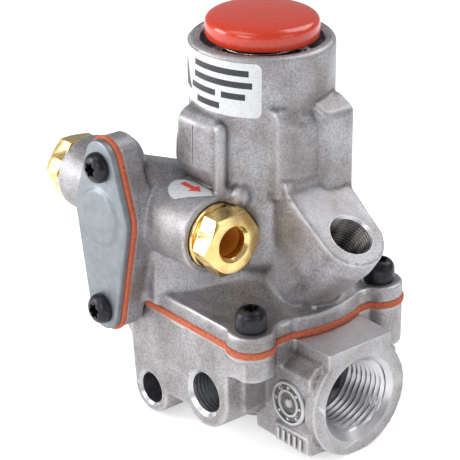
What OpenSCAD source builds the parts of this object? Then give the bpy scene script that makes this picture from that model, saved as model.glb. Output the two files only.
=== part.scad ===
// Thermoelectric gas safety valve with a manual reset button and an external pilot line.
// +Z runs up the reset barrel, +X is the direction of the main gas flow, and -Y is the
// side of the pilot cover. The origin is on the barrel axis, on the flat base pad.

/* [Main ports] */
// Height of the main port axis above the base
port_z = 12.6; // [12:0.1:13]
// Distance from the barrel axis to each port face
port_face_x = 31.25; // [30.5:0.25:33]
// Radius of the round collar around each port
collar_r = 12.6; // [12:0.1:12.6]
// Radius of the threaded wall in each port
port_bore_r = 7.65; // [7.2:0.05:8]
// Radius of the chamfer at each port mouth
port_mouth_r = 9.45; // [8.6:0.05:10]
// Half width of the block behind each collar
block_half_y = 12.1; // [11.5:0.1:12.5]
// Half width of the saddle over each port block
saddle_half_y = 8.6; // [7.5:0.1:9]

/* [Body halves] */
// Height of the parting plane between lower body and gasket
parting_z = 25.3; // [25:0.1:26]
// Thickness of the body gasket
gasket_t = 1.6; // [1:0.1:1.8]
// Thickness of the upper body's flange
flange_t = 3.1; // [3:0.1:3.5]
// Radius of the round middle of the flange
flange_r = 22.7; // [22.5:0.1:23]
// Distance of the corner screws from the axis along X, and of the front one along Y
screw_xy = 18.6; // [18.2:0.1:18.8]
// Distance of the two back screws from the axis along Y
back_screw_y = 16.8; // [16.4:0.1:18.6]
// Radius of the boss around each body screw
screw_boss_r = 5; // [4.8:0.1:5.2]
// Distance from the axis to the mounting face on the -Y side
mount_face_y = 22.6; // [22.4:0.1:22.8]

/* [Barrel] */
// Outer radius of the barrel
barrel_r = 15; // [14.9:0.05:15.2]
// Height of the barrel's rim
rim_z = 83.3; // [83:0.1:84]
// Inner radius of the barrel's mouth
mouth_r = 12.6; // [12.5:0.05:12.8]

/* [Reset button] */
// Radius of the button
button_r = 11.7; // [11.5:0.05:11.8]
// Height of the button's crown above the rim
button_h = 5; // [4.8:0.1:5.5]
// Travel of the button
button_travel = 6; // [5.5:0.1:6]
// Radius of the plunger under the button
plunger_r = 5; // [4.8:0.05:5]

/* [Valve and magnet] */
// Radius of the spindle
spindle_r = 1.5; // [1.4:0.05:1.5]
// Travel of the spindle with its armature and valve discs
valve_travel = 5; // [4:0.1:5]
// Outer radius of the magnet's pot core
core_r = 8.2; // [8:0.1:8.4]
// Radius of the main valve disc
disc_r = 7.8; // [7.5:0.1:8]
// Radius of the opening in the valve seat
seat_hole_r = 6; // [5:0.1:6]

/* [Thermocouple port] */
// Distance of the port's mouth from the barrel axis
tc_x = 27.5; // [27.3:0.1:27.7]
// Height of the port's mouth
tc_z = 48.35; // [48.2:0.05:48.5]
// Lean of the port's axis from vertical towards +X, in degrees
tc_lean = 34.8; // [34:0.1:36]
// Radius of the threaded wall
tc_bore_r = 4; // [3.9:0.05:4.2]
// Depth of the threaded part of the port
tc_depth = 11; // [10:0.5:11]
// Radius of the machined face around the port
tc_boss_r = 7.5; // [7.3:0.1:7.6]

/* [Pilot line] */
// Distance of the pilot line's axis from the barrel axis, towards -Y
pilot_y = 17.75; // [17.6:0.05:17.9]
// Height of the pilot line's axis
pilot_z = 46.15; // [46:0.05:46.3]
// Position along X of the pilot chamber and its cover
cover_x = -15; // [-15.2:0.1:-14.9]
// Distance from the pilot chamber to the end of each nut
nut_reach = 27.4; // [27:0.1:28]
// Width of the pilot nuts across their flats
nut_flats = 12.7; // [12.5:0.1:13]
// Radius of the tube hole in each nut
nut_hole_r = 3.25; // [3.2:0.05:3.4]
// Radius of the cast bosses around the pilot line
pilot_boss_r = 8.3; // [8.2:0.1:8.4]

/* [Pilot cover] */
// Distance from the barrel axis to the casting's face under the cover
pad_y = 27.95; // [27.85:0.05:28.1]
// Thickness of the cover's gasket
cover_gasket_t = 1.2; // [1:0.1:1.3]
// Thickness of the cover plate
plate_t = 1.5; // [1.2:0.1:1.6]
// Height of the upper cover screw
cover_screw_top_z = 57.55; // [57.3:0.05:57.7]
// Height of the lower cover screw
cover_screw_low_z = 25.55; // [25.5:0.05:25.7]

/* [Mounting holes] */
// Position along X of the plain mounting hole
hole_a_x = -9.5; // [-9.7:0.1:-9.4]
// Height of the plain mounting hole
hole_a_z = 5.8; // [5.7:0.05:5.9]
// Radius of the plain mounting hole
hole_a_r = 3.4; // [3.2:0.05:3.5]
// Position along X of the threaded tapping
hole_b_x = 8.4; // [8.2:0.1:8.5]
// Height of the threaded tapping
hole_b_z = 12.1; // [12:0.05:12.2]
// Radius of the threaded tapping
hole_b_r = 4.3; // [4.2:0.05:4.35]
// Depth of both holes
hole_depth = 10; // [8:0.5:10]

/* [Hidden] */
$fn = 64;
CUT = 0.5;          // how far a cutter runs past the face that it opens
GAP = 0.05;         // radial clearance of parts that fit into each other
FREE = 0.35;        // radial clearance of parts that only pass each other
LABEL_GAP = 0.03;   // film of glue under a label
LABEL_T = 0.12;     // thickness of a label

flange_z = parting_z + gasket_t;
pad_back_y = mount_face_y + 0.8;
flange_top_z = flange_z + flange_t;
SIDES = [-1, 1];
BODY_SCREWS = [
    [screw_xy, -screw_xy], [screw_xy, back_screw_y], [-screw_xy, back_screw_y], [-19.4, -4]
];
FLANGE_CORNERS = [
    [screw_xy, -screw_xy], [screw_xy, back_screw_y], [-screw_xy, back_screw_y]
];
screw_r = 2;
screw_len = 9;
screw_head_r = 3.25;
screw_head_h = 4.6;

// Levels of the valve inside the body, from the base up
chamber_floor_z = 4;
chamber_r = 11;
deck_z = 17;
seat_flange_z = 19.6;
seat_top_z = 20.4;
seat_z = 16.2;
upper_chamber_r = 13.5;
partition_z = 31;
partition_t = 3;
partition_r = 11.6;
shaft_bore_r = 11.2;
bridge_z = 44;
bridge_t = 2;
waist_z = 35;
waist_r = 7.2;
core_z = bridge_z + bridge_t;
pole_z = core_z + 11.3;
core_bore_r = core_r + 0.5;
core_bore_top_z = pole_z + 1.2;
foot_bore_r = 11.8;
armature_z = pole_z + valve_travel + 0.1;
armature_t = 2;
guide_z = 74.8;
guide_t = 1.4;
plunger_foot_z = armature_z + armature_t + 1.3 + button_travel;
plunger_foot_t = 2;
plunger_foot_r = 11.2;
cap_hollow_z = 86;
rod_r = 1;
rod_reach = 9.8;
rod_turn = 20;
interrupter_z = 27.5;
interrupter_t = 2;

// Thermocouple contact, its lead and the inner ways of the pilot line
contact_seat_r = 3.4;
contact_seat_depth = 2;
lead_z = 37.7;
lead_x = 8.9;
lead_r = 0.45;
coil_entry_z = core_z + 3.4;
pilot_way_r = 2.4;
outlet_drill_x = -4;
socket_r = 5.5;
nut_collar_r = 7;
arm_r = pilot_boss_r - 0.6;
arm_x0 = -5.9;
arm_x1 = 3.6;
rib_foot_y = 18.3;
rib_foot_z = 59;
flow_x0 = -5.3;
flow_x1 = 5.9;

// Helpers: round bars along each axis, boxes between two corners, and rings
module bar_x(x0, x1, r) { translate([x0, 0, 0]) rotate([0, 90, 0]) cylinder(h = x1 - x0, r = r); }
module bar_y(y0, y1, r) { translate([0, y0, 0]) rotate([-90, 0, 0]) cylinder(h = y1 - y0, r = r); }
module bar_z(z0, z1, r) { translate([0, 0, z0]) cylinder(h = z1 - z0, r = r); }
module box(lo, hi) { translate(lo) cube(hi - lo); }
module ring_z(z0, z1, r_out, r_in) {
    difference() {
        bar_z(z0, z1, r_out);
        bar_z(z0 - CUT, z1 + CUT, r_in);
    }
}
module at_pilot_axis() { translate([0, -pilot_y, pilot_z]) children(); }
module at_thermocouple_port() { translate([tc_x, 0, tc_z]) rotate([0, tc_lean, 0]) children(); }
module at_push_rods() {
    for (side = SIDES) rotate([0, 0, rod_turn]) translate([side * rod_reach, 0, 0]) children();
}
module at_body_screws() { for (p = BODY_SCREWS) translate([p.x, p.y, 0]) children(); }
module at_cover_screws() {
    for (z = [cover_screw_top_z, cover_screw_low_z]) translate([cover_x, 0, z]) children();
}

// A closed coil of round wire about +Z, from z0 to z1 along its centre line
function coil_point(r, z0, z1, turns, t) =
    [r * cos(360 * turns * t), r * sin(360 * turns * t), z0 + (z1 - z0) * t];
module coil(r, wire_r, z0, z1, turns) {
    steps = turns * 20;
    sides = 8;
    points = [
        for (i = [0:steps], k = [0:sides - 1])
            let (c = coil_point(r, z0, z1, turns, i / steps), a = 360 * turns * i / steps,
                 b = 360 * k / sides, out = wire_r * cos(b))
            [c.x + out * cos(a), c.y + out * sin(a), c.z + wire_r * sin(b)]
    ];
    faces = concat(
        [[for (k = [0:sides - 1]) k]],
        [for (i = [0:steps - 1], k = [0:sides - 1])
            let (m = (k + 1) % sides, lo = i * sides, hi = lo + sides)
            [lo + m, lo + k, hi + k, hi + m]],
        [[for (k = [sides - 1:-1:0]) steps * sides + k]]
    );
    polyhedron(points = points, faces = faces);
}

// A six-lobed driver recess, cut down from z = 0
module driver_recess(depth) {
    lobes = 6;
    star = [for (i = [0:2 * lobes - 1]) let (r = i % 2 == 0 ? 1.75 : 1.2, a = 180 * i / lobes)
        [r * cos(a), r * sin(a)]];
    translate([0, 0, -depth]) linear_extrude(depth + CUT) polygon(star);
}

// Outline shared by the flange, the gasket and the top of the lower body
module flange_outline(grow) {
    circle(r = flange_r + grow);
    for (p = FLANGE_CORNERS) translate(p) circle(r = screw_boss_r + grow);
    back_y = back_screw_y + 4 + grow;
    translate([-20.8 - grow, -screw_xy]) square([2 * (20.8 + grow), screw_xy + back_screw_y]);
    translate([-screw_xy, -mount_face_y - grow]) square([2 * screw_xy, mount_face_y + grow + back_y]);
}

// Gas way through the gasket: the upper chamber and the drop to the outlet
module chamber_outline() {
    circle(r = upper_chamber_r);
    translate([0, -6]) square([19, 12]);
}

module port_block(side) {
    x0 = 12;
    x1 = 29.3;
    base_z = 2;
    shoulder_z = 19.9;
    outline = [
        [-block_half_y + 0.6, base_z], [block_half_y - 0.6, base_z],
        [block_half_y, shoulder_z], [block_half_y - 2.4, shoulder_z + 2.2],
        [-block_half_y + 2.4, shoulder_z + 2.2], [-block_half_y, shoulder_z]
    ];
    mirror([side < 0 ? 1 : 0, 0, 0]) {
        translate([x0, 0, 0]) rotate([90, 0, 90]) linear_extrude(x1 - x0) polygon(outline);
        box([x0, -saddle_half_y, shoulder_z], [port_face_x, saddle_half_y, parting_z]);
        translate([0, 0, port_z]) bar_x(x1 - 1, port_face_x, collar_r);
    }
}

module port_bore(side) {
    chamfer = port_mouth_r - port_bore_r;
    mirror([side < 0 ? 1 : 0, 0, 0]) translate([0, 0, port_z]) {
        bar_x(19, port_face_x + CUT, port_bore_r);
        translate([port_face_x - chamfer, 0, 0]) rotate([0, 90, 0])
            cylinder(h = chamfer + CUT, r1 = port_bore_r, r2 = port_mouth_r + CUT);
    }
}

module mounting_hole(x, z, r, rim_r) {
    translate([x, 0, z]) {
        bar_y(-mount_face_y - CUT, -mount_face_y + hole_depth, r);
        translate([0, -mount_face_y, 0]) rotate([-90, 0, 0])
            translate([0, 0, -CUT]) cylinder(h = rim_r - r + CUT, r1 = rim_r + CUT, r2 = r);
    }
}

module lower_body() {
    face_t = 4.5;
    front = [
        [-16.4, parting_z], [-16.4, 18], [-14.9, 6], [2.4, 7.2], [3.2, 9], [15.6, 12.5],
        [15.6, 19], [18.9, 20], [18.9, parting_z]
    ];
    color("silver") difference() {
        union() {
            for (side = SIDES) port_block(side);
            translate([0, 0, 20]) linear_extrude(parting_z - 20) flange_outline(0);
            translate([0, 0, 9]) linear_extrude(11.5) square([32, 36], center = true);
            translate([0, 0, 0]) cylinder(h = 5, r1 = 9, r2 = 14);
            bar_z(5, 20, 14);
            translate([0, -mount_face_y + face_t, 0]) rotate([90, 0, 0])
                linear_extrude(face_t) polygon(front);
            translate([hole_a_x, 0, hole_a_z]) bar_y(-mount_face_y, -6, 5.4);
            translate([hole_b_x, 0, hole_b_z]) bar_y(-mount_face_y, -8, 7.4);
            for (side = SIDES) translate([side * screw_xy, back_screw_y, 0])
                bar_z(16, parting_z, screw_boss_r);
        }
        // nothing of the wall stands proud of the mounting face
        box([-40, -mount_face_y - 5, -CUT], [40, -mount_face_y, parting_z - 0.6]);
        for (side = SIDES) port_bore(side);
        translate([0, 0, port_z - 1]) bar_x(-20, -9, 5);
        bar_z(chamber_floor_z, deck_z, chamber_r);
        bar_z(deck_z - CUT, seat_flange_z, 8.5 + GAP);
        bar_z(seat_flange_z, parting_z + CUT, upper_chamber_r);
        box([12.5, -6, 8], [19, 6, parting_z + CUT]);
        mounting_hole(hole_a_x, hole_a_z, hole_a_r, 3.95);
        mounting_hole(hole_b_x, hole_b_z, hole_b_r, 5.05);
        at_body_screws() bar_z(flange_top_z - screw_len - 0.4, parting_z + CUT, screw_r + GAP);
    }
}

module body_gasket() {
    color("orangered") translate([0, 0, parting_z]) linear_extrude(gasket_t) difference() {
        flange_outline(0.35);
        chamber_outline();
        for (p = BODY_SCREWS) translate(p) circle(r = screw_r + 0.25);
    }
}

// Teardrop of the pilot cover, as a bar along Y between y0 and y1
module cover_shape(y0, y1, grow) {
    hull() {
        translate([cover_x, 0, cover_screw_top_z + 0.9]) bar_y(y0, y1, 4.7 + grow, $fn = 32);
        translate([cover_x, 0, pilot_z + 0.4]) bar_y(y0, y1, 8.6 + grow, $fn = 32);
        translate([cover_x, 0, cover_screw_low_z - 0.2]) bar_y(y0, y1, 4.5 + grow, $fn = 32);
    }
}

// Slanting seat of the thermocouple port and the web that carries it down to the flange
module thermocouple_boss() {
    at_thermocouple_port() {
        bar_z(-5, 0, tc_boss_r);
        box([-12.4, -tc_boss_r, -4], [0, tc_boss_r, 0]);
    }
    hull() {
        at_thermocouple_port() bar_z(-5, -0.6, tc_boss_r - 0.3, $fn = 32);
        box([10, -7.9, 48], [18.6, 7.9, 54]);
        translate([11.5, 0, 0]) bar_z(flange_top_z - 1, flange_top_z, 7.6, $fn = 32);
    }
}

module upper_ribs() {
    // wide rib above the thermocouple port, with a channel down its front
    side_rib = [[10, 40], [19.2, 50], [19.2, 70.2], [18, 71.6], [14.4, 72.8], [10, 72.8]];
    rib_plan = [
        [9, -8.3], [12.6, -8.3], [14.2, -7.6], [15.4, -6.6], [16.6, -4.8], [16.9, -3.4], [16.9, 0],
        [17.6, 0.8], [18.7, 1.2], [19.2, 1.9], [19.2, 7.4], [18.6, 8], [9, 8]
    ];
    intersection() {
        translate([0, 9, 0]) rotate([90, 0, 0]) linear_extrude(18) polygon(side_rib);
        translate([0, 0, 40]) linear_extrude(40) polygon(rib_plan);
    }
    // narrow rib towards the pilot cover
    front_rib = [
        [-10, 47], [-rib_foot_y, rib_foot_z], [-rib_foot_y, 68.6], [-16.8, 70.1],
        [-14.4, 70.8], [-10, 70.8]
    ];
    translate([-5.4, 0, 0]) rotate([90, 0, 90]) linear_extrude(10.8) polygon(front_rib);
    // half-round rib beside it
    translate([5.3, -15, 0]) bar_z(pilot_z + pilot_boss_r + 0.5, 69.4, 1.6);
}

module pilot_casting() {
    boss_x0 = cover_x - nut_reach + 6;
    boss_x1 = cover_x + nut_reach - 6;
    at_pilot_axis() bar_x(boss_x0, boss_x1, pilot_boss_r);
    // face under the cover, kept clear of the lower body and tied to the flange
    cover_shape(-pad_y, -pad_back_y, 0.4);
    box([-18.6, -pad_back_y - 1, flange_z + 0.3], [-9, -20, flange_top_z + 3]);
    translate([cover_x, 0, cover_screw_top_z]) bar_y(-pad_y, -22.05, 5.3);
    // arm from the barrel to the back of the pilot line
    hull() {
        at_pilot_axis() bar_x(arm_x0, arm_x1, arm_r, $fn = 32);
        box([-9, -12, 39], [3, -10, 50]);
    }
    // arm from the barrel to the back of the cover's boss
    hull() {
        at_pilot_axis() bar_x(cover_x - 4.9, cover_x + 8, arm_r, $fn = 32);
        box([cover_x - 3, -23.5, 51.3], [cover_x + 3, -20.7, 57.3]);
        box([-11, -11, 40], [-8, -8, 54]);
    }
    // web under the pilot line, down to the flange
    hull() {
        box([-9.5, -pad_back_y, flange_z + 0.3], [-6.6, -19.7, 43.3]);
        box([-4, -12, 30.5], [6, -9, 42]);
    }
}

module upper_body_solid() {
    neck_r = 13.2;
    translate([0, 0, flange_z]) linear_extrude(flange_t) flange_outline(0);
    rotate_extrude() polygon([
        [0, flange_z], [21, flange_z], [21, flange_top_z + 0.3], [18.4, flange_top_z + 0.9],
        [16.4, 32], [14.4, 33.5], [neck_r, 35], [neck_r, 36.6], [14.2, 37.6], [barrel_r, 38.7],
        [barrel_r, rim_z - 0.9], [barrel_r - 0.3, rim_z - 0.3], [barrel_r - 0.9, rim_z], [0, rim_z]
    ]);
    upper_ribs();
    thermocouple_boss();
    pilot_casting();
}

module upper_body_bores() {
    // shaft of the reset and magnet train
    bar_z(flange_z - CUT, partition_z, upper_chamber_r);
    bar_z(partition_z - CUT, partition_z + partition_t, partition_r + GAP);
    bar_z(partition_z, waist_z, shaft_bore_r);
    bar_z(waist_z - CUT, bridge_z, waist_r);
    bar_z(bridge_z, core_bore_top_z, core_bore_r);
    bar_z(core_bore_top_z, guide_z, foot_bore_r);
    at_push_rods() bar_z(waist_z - CUT, core_bore_top_z + CUT, rod_r + FREE);
    bar_z(guide_z, rim_z + CUT, mouth_r);
    translate([0, 0, rim_z - 0.5]) cylinder(h = 1, r1 = mouth_r, r2 = mouth_r + 1);
    bar_z(guide_z + guide_t, guide_z + guide_t + 0.8, 13.2);
    box([0, -6, flange_z - CUT], [19, 6, flange_z + 0.8]);
    at_body_screws() bar_z(flange_z - CUT, flange_top_z + 9, screw_r + 0.25);
    at_body_screws() bar_z(flange_top_z, flange_top_z + 9, screw_head_r + 0.4);
    // thermocouple port and the way of its lead
    at_thermocouple_port() {
        bar_z(-tc_depth, CUT, tc_bore_r);
        bar_z(-tc_depth - contact_seat_depth, -tc_depth + CUT, contact_seat_r + GAP);
        translate([0, 0, -0.6]) cylinder(h = 1.2, r1 = tc_bore_r, r2 = tc_bore_r + 1.2);
    }
    translate([0, 0, lead_z]) bar_x(lead_x, 20.2, 1.2);
    translate([lead_x, 0, 0]) bar_z(lead_z - 1.2, coil_entry_z + 1, 2 * lead_r);
    // pilot line: nut sockets, chamber and the two drillings to the barrel
    at_pilot_axis() {
        for (side = SIDES) translate([cover_x, 0, 0]) mirror([side < 0 ? 1 : 0, 0, 0]) {
            bar_x(13.4, nut_reach - 5.5, socket_r + GAP);
            bar_x(nut_reach - 7.2, nut_reach - 5.5, nut_collar_r + 0.2);
            // room for the nut's flats beside the barrel
            bar_x(nut_reach - 5.5, nut_reach + 2, 7.6);
        }
        bar_x(cover_x - 14, cover_x, pilot_way_r);
        bar_x(outlet_drill_x - 2.2, cover_x + 14, pilot_way_r);
        translate([cover_x, 0, 0]) bar_y(pilot_y - pad_y - CUT, 3, 6);
        translate([cover_x, 0, -5.15]) rotate([0, 90, 49.8]) cylinder(h = 17.5, r = 1.8);
        translate([outlet_drill_x, 0, 2.4]) bar_y(0, 11.2, 1.6);
    }
    at_cover_screws() bar_y(-pad_y - CUT, -pad_y + 2.6, screw_r + GAP);
}

module upper_body() {
    color("lightgray") difference() {
        upper_body_solid();
        upper_body_bores();
    }
}

module body_screws() {
    color("#202124") at_body_screws() difference() {
        union() {
            bar_z(flange_top_z - screw_len, flange_top_z, screw_r);
            bar_z(flange_top_z, flange_top_z + screw_head_h - 1.2, screw_head_r);
            translate([0, 0, flange_top_z + screw_head_h - 1.2])
                cylinder(h = 1.2, r1 = screw_head_r, r2 = screw_head_r - 0.9);
        }
        translate([0, 0, flange_top_z + screw_head_h]) driver_recess(2.4);
    }
}

module pilot_cover_gasket() {
    color("orangered") difference() {
        cover_shape(-pad_y - cover_gasket_t, -pad_y, 0.6);
        translate([cover_x, 0, pilot_z]) bar_y(-40, -20, 6);
        at_cover_screws() bar_y(-40, -20, screw_r + 0.25);
    }
}

module pilot_cover_plate() {
    face = -pad_y - cover_gasket_t - plate_t;
    color("lightsteelblue") difference() {
        union() {
            cover_shape(face, face + plate_t, 0);
            translate([cover_x, face, pilot_z + 0.4]) rotate([90, 0, 0]) cylinder(h = 0.7, r1 = 6.1, r2 = 5.4);
        }
        at_cover_screws() bar_y(-40, -20, screw_r + 0.25);
    }
}

module pilot_cover_screws() {
    face = -pad_y - cover_gasket_t - plate_t;
    color("#202124") at_cover_screws() translate([0, face, 0]) rotate([90, 0, 0]) difference() {
        union() {
            bar_z(-plate_t - cover_gasket_t - 2.4, 0, screw_r);
            bar_z(0, 1.4, screw_head_r);
            translate([0, 0, 1.4]) cylinder(h = 1, r1 = screw_head_r, r2 = screw_head_r - 1);
        }
        translate([0, 0, 2.4]) driver_recess(1.5);
    }
}

// Compression nut of the pilot line, along +X, with its outer end at nut_reach
module pilot_nut(side) {
    corner_r = nut_flats / 2 / cos(30);
    hex_len = 4.3;
    translate([cover_x, -pilot_y, pilot_z]) mirror([side < 0 ? 1 : 0, 0, 0]) difference() {
        union() {
            bar_x(nut_reach - 12.4, nut_reach - 6.8, socket_r);
            bar_x(nut_reach - 6.8, nut_reach - hex_len, nut_collar_r - 0.8);
            bar_x(nut_reach - 6.8, nut_reach - 5.1, nut_collar_r);
            intersection() {
                translate([nut_reach - hex_len, 0, 0]) rotate([35, 0, 0]) rotate([0, 90, 0])
                    cylinder(h = hex_len, r = corner_r, $fn = 6);
                translate([nut_reach - hex_len, 0, 0]) rotate([0, 90, 0])
                    cylinder(h = hex_len, r1 = corner_r + 3, r2 = corner_r - 0.9);
            }
        }
        bar_x(nut_reach - 13, nut_reach + CUT, nut_hole_r);
        translate([nut_reach - 0.7, 0, 0]) rotate([0, 90, 0])
            cylinder(h = 1.2, r1 = nut_hole_r, r2 = nut_hole_r + 0.8);
    }
}
module pilot_inlet_nut() { color("goldenrod") pilot_nut(-1); }
module pilot_outlet_nut() { color("goldenrod") pilot_nut(1); }

// Cone ring that the nut squeezes on to the tube
module pilot_ferrule(side) {
    translate([cover_x, -pilot_y, pilot_z]) mirror([side < 0 ? 1 : 0, 0, 0])
        translate([nut_reach - 13.9, 0, 0]) rotate([0, 90, 0]) difference() {
            cylinder(h = 1.5, r1 = 4, r2 = 5.2);
            bar_z(-CUT, 2, nut_hole_r);
        }
}
module pilot_inlet_ferrule() { color("gold") pilot_ferrule(-1); }
module pilot_outlet_ferrule() { color("gold") pilot_ferrule(1); }

module pilot_filter() {
    color("gainsboro") translate([cover_x, 0, pilot_z]) difference() {
        bar_y(-pad_y + 0.2, -pad_y + 4.2, 5.9);
        bar_y(-pad_y - CUT, -pad_y + 3.6, 5.1);
        for (dx = [-3:1.5:3], dz = [-3:1.5:3]) translate([dx, 0, dz]) bar_y(-pad_y, -pad_y + 5, 0.4);
    }
}

module button_cap() {
    color("red") difference() {
        rotate_extrude() polygon([
            [0, rim_z], [button_r - 0.4, rim_z], [button_r, rim_z + 0.4],
            [button_r, rim_z + button_h - 1.8], [button_r - 0.5, rim_z + button_h - 0.9],
            [button_r - 1.6, rim_z + button_h - 0.4], [button_r * 0.6, rim_z + button_h - 0.1],
            [0, rim_z + button_h]
        ]);
        ring_z(rim_z - CUT, cap_hollow_z, 9.9, plunger_r);
        bar_z(rim_z - CUT, rim_z + 1.5, 3);
    }
}

module button_plunger() {
    color("peru") difference() {
        union() {
            bar_z(plunger_foot_z, rim_z, plunger_r);
            bar_z(plunger_foot_z, plunger_foot_z + plunger_foot_t, plunger_foot_r);
            bar_z(rim_z, rim_z + 1.5, 3);
        }
        bar_z(plunger_foot_z - CUT, rim_z - 1, 3.3);
        at_push_rods() bar_z(70, 75, rod_r);
        for (side = SIDES) translate([side * 8.2, 0, 0]) bar_z(70, 75, 1.8);
    }
}

module button_guide() {
    color("#26262a") difference() {
        union() {
            bar_z(guide_z, guide_z + guide_t, mouth_r - GAP);
            bar_z(guide_z - 0.6, 79.4, 7);
        }
        bar_z(70, 90, plunger_r + GAP);
        bar_z(76.1, 77.9, 6.1);
    }
}

module guide_snap_ring() {
    z0 = guide_z + guide_t;
    color("dimgray") difference() {
        ring_z(z0, z0 + 0.8, 13.15, 12);
        rotate([0, 0, 45]) box([8, -2.5, z0 - 1], [16, 2.5, z0 + 2]);
    }
}

module plunger_seal() {
    color("#1b1b1b") translate([0, 0, 77]) rotate_extrude() translate([5.575, 0]) circle(r = 0.52, $fn = 24);
}

module button_spring() { color("silver") coil(8.4, 0.35, 76.6, 85.6, 5); }
module override_spring() { color("silver") coil(2.5, 0.3, 64.7, 81.9, 9); }

module push_rods() {
    color("lightslategray") at_push_rods()
        bar_z(interrupter_z + interrupter_t, plunger_foot_z + plunger_foot_t, rod_r);
}

module interrupter_disc() {
    color("tan") difference() {
        bar_z(interrupter_z, interrupter_z + interrupter_t, 11.1);
        bar_z(20, 40, spindle_r + FREE);
        for (side = SIDES) translate([side * 9.2, 0, 0]) bar_z(20, 40, 1.6);
    }
}
module interrupter_seal() { color("#1b1b1b") ring_z(interrupter_z - 1, interrupter_z, 8.2, 5.4); }

module magnet_bridge() {
    color("silver") difference() {
        union() {
            bar_z(bridge_z, core_z, core_bore_r - GAP);
            bar_z(bridge_z - 1.8, bridge_z, 4.5);
        }
        bar_z(40, 50, spindle_r + 0.7);
        at_push_rods() bar_z(40, 50, rod_r + FREE);
        translate([lead_x, 0, 0]) bar_z(40, 50, 2 * lead_r);
        // gas slots under the core
        box([-10, -0.9, core_z - 1], [10, 0.9, core_z + 1]);
    }
}

module magnet_core() {
    color("gray") difference() {
        bar_z(core_z, pole_z, core_r);
        ring_z(core_z + 2.4, pole_z + CUT, core_r - 1.2, 3.6);
        bar_z(40, 60, spindle_r + FREE);
        box([3.6, -0.9, core_z + 2.4], [9, 0.9, core_z + 4.4]);
    }
}

module coil_bobbin() {
    z0 = core_z + 2.4;
    color("whitesmoke") difference() {
        bar_z(z0, pole_z - 0.4, 6.9);
        bar_z(z0 - CUT, pole_z, 3.65);
        ring_z(z0 + 0.8, pole_z - 1.2, 8, 4.4);
    }
}
module magnet_coil() { color("chocolate") ring_z(core_z + 3.2, pole_z - 1.2, 6.6, 4.4); }

module armature() {
    color("slategray") difference() {
        bar_z(armature_z, armature_z + armature_t, 7.6);
        bar_z(40, 70, spindle_r);
    }
}

module valve_spindle() {
    color("lightsteelblue") bar_z(11.6, armature_z + armature_t + 0.9, spindle_r);
}

module spindle_nuts() {
    color("goldenrod") {
        difference() {
            bar_z(11.8, 13.2, 2.8, $fn = 6);
            bar_z(10, 14, spindle_r);
        }
        difference() {
            bar_z(armature_z + armature_t, armature_z + armature_t + 0.8, 2);
            bar_z(60, 70, spindle_r);
        }
    }
}

module partition_plate() {
    color("goldenrod") difference() {
        bar_z(partition_z, partition_z + partition_t, partition_r);
        bar_z(20, 40, spindle_r + GAP);
        at_push_rods() bar_z(20, 40, rod_r + GAP);
    }
}

module pilot_valve_disc() {
    color("#1b1b1b") ring_z(bridge_z - 3.6, bridge_z - 1.85, 4.4, spindle_r);
}
module main_valve_disc() { color("goldenrod") ring_z(13.2, seat_z - 1.05, disc_r, spindle_r); }
module main_valve_seal() { color("#1b1b1b") ring_z(seat_z - 1.05, seat_z - GAP, disc_r, 4.8); }

module valve_seat() {
    color("gold") difference() {
        union() {
            bar_z(seat_z, seat_flange_z, 8.5);
            bar_z(seat_flange_z, seat_top_z, 9.6);
        }
        bar_z(10, 30, seat_hole_r);
    }
}

module closing_spring() { color("silver") coil(5, 0.4, chamber_floor_z + 0.4, 12.8, 4); }

module thermocouple_contact() {
    color("goldenrod") at_thermocouple_port() {
        bar_z(-tc_depth - 0.8, -tc_depth - 0.05, 1.8);
        bar_z(-tc_depth - contact_seat_depth, -tc_depth - 0.8, 0.9);
    }
}
module contact_insulator() {
    color("saddlebrown") at_thermocouple_port()
        ring_z(-tc_depth - contact_seat_depth, -tc_depth - 0.8, contact_seat_r, 0.9);
}
module coil_lead() {
    color("peru") {
        translate([0, 0, lead_z]) bar_x(lead_x, 19.2, lead_r);
        translate([lead_x, 0, 0]) bar_z(lead_z, coil_entry_z, lead_r);
        translate([0, 0, coil_entry_z]) bar_x(6.95, lead_x, lead_r);
    }
}

module barrel_label() {
    label_z0 = 70.9;
    label_h = 11.4;
    color("white") rotate([0, 0, -160]) rotate_extrude(angle = 119)
        translate([barrel_r + LABEL_GAP, label_z0]) square([LABEL_T, label_h]);
}

// It wraps the top of the pilot line's casting, between two angles above its front
module flow_label() {
    low_edge = 54;
    high_edge = 104;
    color("white") at_pilot_axis() translate([flow_x0, 0, 0]) rotate([0, 90, 0])
        rotate([0, 0, -90 - high_edge]) rotate_extrude(angle = high_edge - low_edge)
            translate([pilot_boss_r + LABEL_GAP, 0]) square([LABEL_T, flow_x1 - flow_x0]);
}

lower_body();
upper_body();
body_gasket();
body_screws();
pilot_cover_plate();
pilot_cover_gasket();
pilot_cover_screws();
pilot_inlet_nut();
pilot_outlet_nut();
pilot_inlet_ferrule();
pilot_outlet_ferrule();
pilot_filter();
button_cap();
button_plunger();
button_guide();
guide_snap_ring();
plunger_seal();
button_spring();
override_spring();
push_rods();
interrupter_disc();
interrupter_seal();
magnet_bridge();
magnet_core();
coil_bobbin();
magnet_coil();
armature();
valve_spindle();
spindle_nuts();
partition_plate();
pilot_valve_disc();
main_valve_disc();
main_valve_seal();
valve_seat();
closing_spring();
thermocouple_contact();
contact_insulator();
coil_lead();
barrel_label();
flow_label();
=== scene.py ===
"""Looks of a gas safety valve: cast body halves, pilot line, reset button and what is inside.
Every shape is made in millimetres in the CAD's frame, and scaled to metres when it joins its body."""
import math

import bmesh
import bpy
from mathutils import Matrix, Vector


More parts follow.
